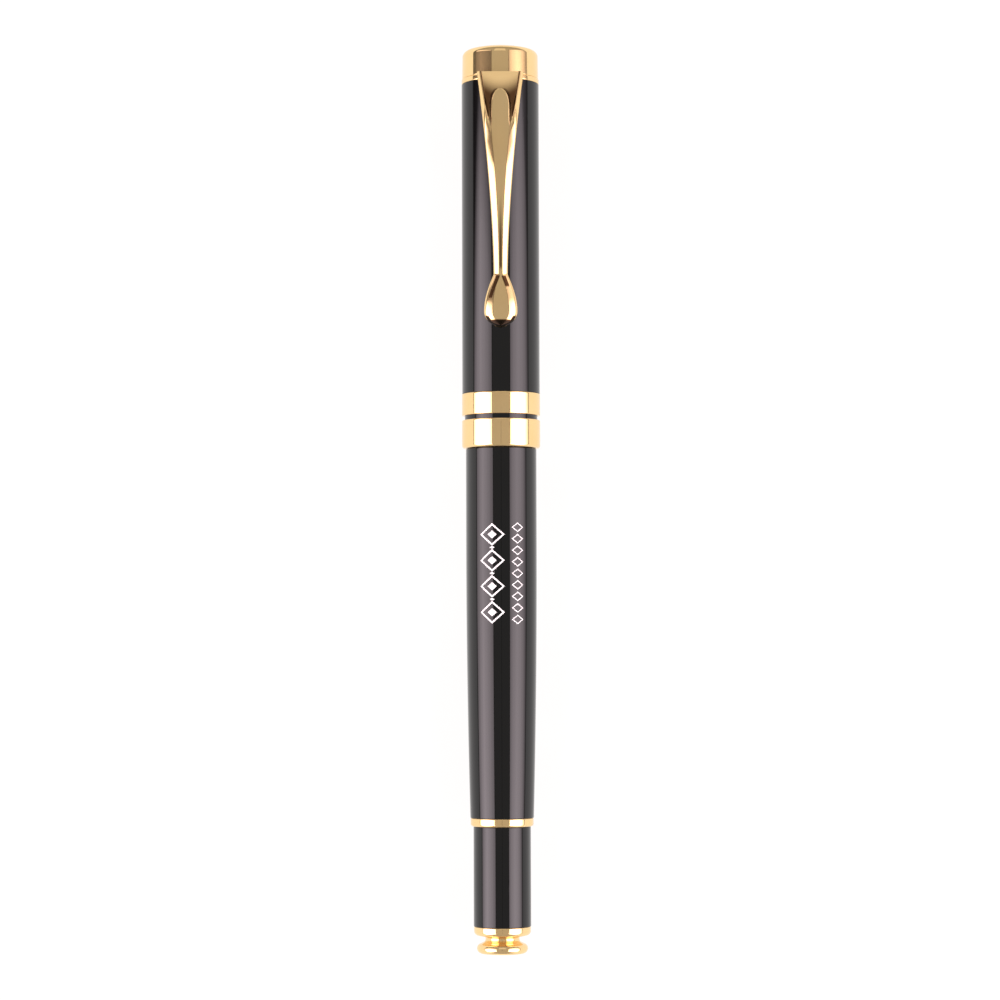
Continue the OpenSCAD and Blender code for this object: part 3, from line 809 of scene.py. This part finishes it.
# The tang under the root, which sits in the clip ring's slot.
TANG_HALF, TANG_LOW, TANG_HIGH, TANG_THICK = 1.9, 4.7, 5.9, 0.54
ring_mid = sum(span("clip_ring")[:2]) / 2
tang = [[(-TANG_HALF, y, TANG_LOW), (TANG_HALF, y, TANG_LOW),
         (TANG_HALF, y, TANG_HIGH), (-TANG_HALF, y, TANG_HIGH)]
        for y in (ring_mid - TANG_THICK / 2, ring_mid + TANG_THICK / 2)]
tang = loops_mesh("clip_tang", tang)
edge = tang.modifiers.new("edge", "BEVEL")
edge.width = 40 * MICRON
edge.segments = 3
place(clip, "cap", "gold_plate", ["clip_arm"], material=CLIP_GOLD,
      blend=("clip", (0, (ROOT_Y - 1.2) * MM, AXIS_Z), (0, (ROOT_Y - 12) * MM, AXIS_Z)))
place(tang, "cap", "gold_plate", material=CLIP_GOLD)


# ---- Printed ornament ----

# The print reaches this far into the lacquer and above it.
PRINT_IN, PRINT_OUT = 0.02, 0.022


def printed(name, outlines):
    """Flat outlines of (s, y) in mm, printed on the lacquer, with s measured round the barrel from its top.
    Each outline is a pair of closed loops, outer and inner, or one loop and None."""
    points, faces = [], []

    def bend(s, y, lift):
        r = barrel_radius(y)
        return ((r + lift) * math.sin(s / r), y, (r + lift) * math.cos(s / r))

    for outer, inner in outlines:
        first, count = len(points), len(outer)
        loops = [outer, inner] if inner else [outer]
        for loop in loops:
            points += [bend(s, y, PRINT_OUT) for s, y in loop]
            points += [bend(s, y, -PRINT_IN) for s, y in loop]
        for k in range(count):
            m = (k + 1) % count
            faces.append([first + k, first + m, first + count + m, first + count + k])
            if inner:
                other = first + 2 * count
                faces += [[other + k, other + m, other + count + m, other + count + k],
                          [first + k, first + m, other + m, other + k],
                          [first + count + k, first + count + m, other + count + m, other + count + k]]
        if not inner:
            s, y = np.mean(outer, axis=0)
            points += [bend(s, y, PRINT_OUT), bend(s, y, -PRINT_IN)]
            for k in range(count):
                m = (k + 1) % count
                faces += [[first + k, first + m, first + 2 * count],
                          [first + count + k, first + count + m, first + 2 * count + 1]]
    return clean(add_mesh(name, points, faces))


def lozenge(s, y, half_s, half_y, steps=6):
    """The outline of a lozenge, with steps points on each side so that it follows the barrel."""
    corners = [(s + half_s, y), (s, y + half_y), (s - half_s, y), (s, y - half_y)]
    return [(mix(p[0], q[0], k / steps), mix(p[1], q[1], k / steps))
            for p, q in zip(corners, corners[1:] + corners[:1]) for k in range(steps)]


# A row of large lozenges joined by small links, and beside it a row of smaller ones.
PRINT_TOP, PRINT_LENGTH = -4.1, 15.8
LARGE_S, SMALL_S = -1.45, 2.55
LARGE, SMALL = 4, 9
ornament = []
for i in range(LARGE):
    y = PRINT_TOP - PRINT_LENGTH * (i + 0.5) / LARGE
    ornament.append((lozenge(LARGE_S, y, 1.95, 1.72), lozenge(LARGE_S, y, 1.60, 1.38)))
    ornament.append((lozenge(LARGE_S, y, 0.72, 0.62), None))
    if i:
        ornament.append((lozenge(LARGE_S, y + PRINT_LENGTH / LARGE / 2, 0.42, 0.20, 3), None))
for i in range(SMALL):
    y = PRINT_TOP - PRINT_LENGTH * (i + 0.5) / SMALL
    ornament.append((lozenge(SMALL_S, y, 0.98, 0.74), lozenge(SMALL_S, y, 0.76, 0.54)))
place(printed("barrel_ornament", ornament), "barrel", "white_print")


# ---- Floor, light and camera ----

def emitter(name, corners, colour, strength):
    """A four-cornered light or card, seen in reflections but not by the camera. Its corners are in metres, in
    order round the card. strength is a number, or a function that builds a node value from n and the places
    across and along the card."""
    mesh = bpy.data.meshes.new(name)
    mesh.from_pydata([tuple(c) for c in corners], [], [(0, 1, 2, 3)])
    uv = mesh.uv_layers.new(name="card")
    for loop, place_uv in zip(uv.data, ((0, 0), (1, 0), (1, 1), (0, 1))):
        loop.uv = place_uv
    obj = bpy.data.objects.new(name, mesh)
    bpy.context.scene.collection.objects.link(obj)
    obj.visible_camera = False
    n = Nodes(name)
    n.tree.nodes.remove(n.shader)
    light = n.node("ShaderNodeEmission", {"Color": (*colour, 1)})
    if callable(strength):
        where = n.node("ShaderNodeUVMap", uv_map="card").outputs["UV"]
        parts = n.node("ShaderNodeSeparateXYZ", {"Vector": where})
        n.put(light.inputs["Strength"], strength(n, parts.outputs["X"], parts.outputs["Y"]))
    else:
        light.inputs["Strength"].default_value = strength
    n.put(n.tree.nodes["Material Output"].inputs["Surface"], light.outputs["Emission"])
    mesh.materials.append(n.material)


def ramp(n, value, stops):
    """A smooth curve of brightness through (place, brightness) stops."""
    made = n.node("ShaderNodeValToRGB", {"Fac": value})
    made.color_ramp.interpolation = "EASE"
    elements = made.color_ramp.elements
    while len(elements) > 1:
        elements.remove(elements[-1])
    for i, (where, bright) in enumerate(stops):
        stop = elements[0] if i == 0 else elements.new(where)
        stop.position = where
        stop.color = (bright, bright, bright, 1)
    return made.outputs["Color"]


BOX_FAR, BOX_NEAR = -0.85, 0.60
BOX_TINT, BOX_RADIANCE = (1.0, 0.86, 0.91), 5.9


def softbox(side, across, along, radiance):
    """A long softbox beside the pen, on the side -1 or 1. across is its brightness from the upper edge to the
    foot, and along is its brightness at places along the pen, in metres. It dies away towards the crown, and
    soonest near its foot."""
    top, foot = Vector((side * 0.545, 0, 1.07)), Vector((side * 0.90, 0, 0.055))
    near, far = Vector((0, BOX_NEAR, 0)), Vector((0, BOX_FAR, 0))
    first, last = along[0][0], along[-1][0]

    def strength(n, u, v):
        y = n.spread(v, BOX_FAR, BOX_NEAR, 0, 1)
        low = n.math("MAXIMUM", n.math("SUBTRACT", u, 0.55), 0.0)
        y = n.math("ADD", y, n.math("MULTIPLY", n.math("MULTIPLY", low, low), 0.45))
        stops = [((p - first) / (last - first), q) for p, q in along]
        fade = ramp(n, n.spread(y, 0, 1, first, last), stops)
        rear = n.spread(y, 1.16, 1.0, -0.14, 0.03)
        both = n.math("MULTIPLY", fade, n.math("MULTIPLY", rear, radiance))
        return n.math("MULTIPLY", both, ramp(n, u, across))

    name = "softbox_left" if side < 0 else "softbox_right"
    emitter(name, [top + far, foot + far, foot + near, top + near], BOX_TINT, strength)
    # The dark frame along its upper edge, just above the cloth.
    inner, outer = Vector((side * 0.505, 0, 1.075)), top + Vector((0, 0, 0.004))
    emitter(name + "_frame", [inner + far, outer + far, outer + near, inner + near], (1.0, 0.9, 0.8), 0.14)


softbox(-1, [(0.0, 0.42), (0.15, 0.58), (0.33, 0.76), (0.5, 0.90), (0.66, 1.0), (0.78, 0.84), (0.9, 0.60),
             (1.0, 0.34)],
        [(0.14, 1.0), (0.17, 0.92), (0.184, 0.77), (0.198, 0.64), (0.212, 0.46), (0.227, 0.27),
         (0.239, 0.11), (0.248, 0.045), (0.345, 0.045), (0.375, 0.22), (0.60, 0.22)], BOX_RADIANCE)
softbox(1, [(0.0, 0.40), (0.12, 0.62), (0.28, 0.80), (0.5, 0.93), (0.66, 0.84), (0.78, 0.68), (0.88, 0.50),
            (0.94, 0.32), (1.0, 0.16)],
        [(0.14, 1.0), (0.17, 0.93), (0.20, 0.83), (0.226, 0.72), (0.238, 0.50), (0.248, 0.30),
         (0.262, 0.27), (0.60, 0.27)], BOX_RADIANCE)

# A dark stand in front of the left softbox's end, and the camera's arm above the pen.
STAND_X, STAND_TOP = -0.86, 0.17
emitter("stand_left", [(STAND_X, 0.24, 0.0), (STAND_X, 0.24, STAND_TOP), (STAND_X, 0.62, STAND_TOP),
                       (STAND_X, 0.62, 0.0)], (1, 1, 1), 0.07)
ARM_Z = 0.50
emitter("camera_arm", [(-0.005, -0.30, ARM_Z), (0.002, -0.30, ARM_Z), (0.002, 0.052, ARM_Z),
                       (-0.005, 0.052, ARM_Z)], (1, 1, 1), 0.05)

# A lamp beyond the crown, which lights the slope of the clip's root.
lamp = bpy.data.lights.new("crown_lamp", "AREA")
lamp.shape = "RECTANGLE"
lamp.size, lamp.size_y = 0.70, 1.00
lamp.energy = 0.34 * math.pi * lamp.size * lamp.size_y
lamp.color = (1.0, 0.93, 0.90)
lamp_obj = bpy.data.objects.new("crown_lamp", lamp)
lamp_obj.location = (0, 0.86, 1.10)
bpy.context.scene.collection.objects.link(lamp_obj)

# The room is a little lighter towards its ceiling.
world = bpy.data.worlds.new("studio")
bpy.context.scene.world = world
world.use_nodes = True
sky = world.node_tree
direction = sky.nodes.new("ShaderNodeSeparateXYZ")
sky.links.new(sky.nodes.new("ShaderNodeTexCoord").outputs["Generated"], direction.inputs[0])
ceiling = sky.nodes.new("ShaderNodeMapRange")
for key, value in (("From Min", 0.25), ("From Max", 0.75), ("To Min", 0.38), ("To Max", 0.44)):
    ceiling.inputs[key].default_value = value
sky.links.new(direction.outputs["Z"], ceiling.inputs["Value"])
sky.nodes["Background"].inputs["Color"].default_value = (1.0, 0.97, 0.94, 1)
sky.links.new(ceiling.outputs["Result"], sky.nodes["Background"].inputs["Strength"])


def floor():
    """A pale board, 4 m square, in 24 by 24 cells."""
    half, count = 2.0, 24
    row = count + 1
    points = [(mix(-half, half, i / count), mix(-half, half, j / count), 0.0)
              for i in range(row) for j in range(row)]
    faces = [(i * row + j, (i + 1) * row + j, (i + 1) * row + j + 1, i * row + j + 1)
             for i in range(count) for j in range(count)]
    mesh = bpy.data.meshes.new("floor")
    mesh.from_pydata(points, [], faces)
    obj = bpy.data.objects.new("floor", mesh)
    bpy.context.scene.collection.objects.link(obj)
    n = Nodes("floor_board")
    fibre = n.noise(60, 4, 0.6)
    n.set(Base_Color=n.blend(n.spread(fibre, 0, 1), (0.085, 0.085, 0.085), (0.095, 0.095, 0.095)),
          Roughness=0.9, Specular_IOR_Level=0.0, Emission_Color=(1.0, 0.985, 0.975, 1),
          Emission_Strength=0.93)
    mesh.materials.append(n.material)


floor()

# The camera looks down at the middle of the pen from 0.47 m, leaning a little from the tail's side.
camera_data = bpy.data.cameras.new("camera")
camera = bpy.data.objects.new("camera", camera_data)
bpy.context.scene.collection.objects.link(camera)
bpy.context.scene.camera = camera
eye = Vector((0.0, -0.0264, AXIS_Z + 0.471))
aim = Vector((-0.00020, -0.00055, AXIS_Z))
roll = math.radians(0.16)
back = (eye - aim).normalized()
right = Vector((math.sin(roll), math.cos(roll), 0)).cross(back).normalized()
turned = Matrix((right, back.cross(right), back)).transposed().to_4x4()
camera.matrix_world = Matrix.Translation(eye) @ turned
camera_data.sensor_fit = "AUTO"
camera_data.angle = math.radians(18.55)
camera_data.clip_start = 0.01
camera_data.clip_end = 20
bpy.context.scene.view_settings.view_transform = "Standard"
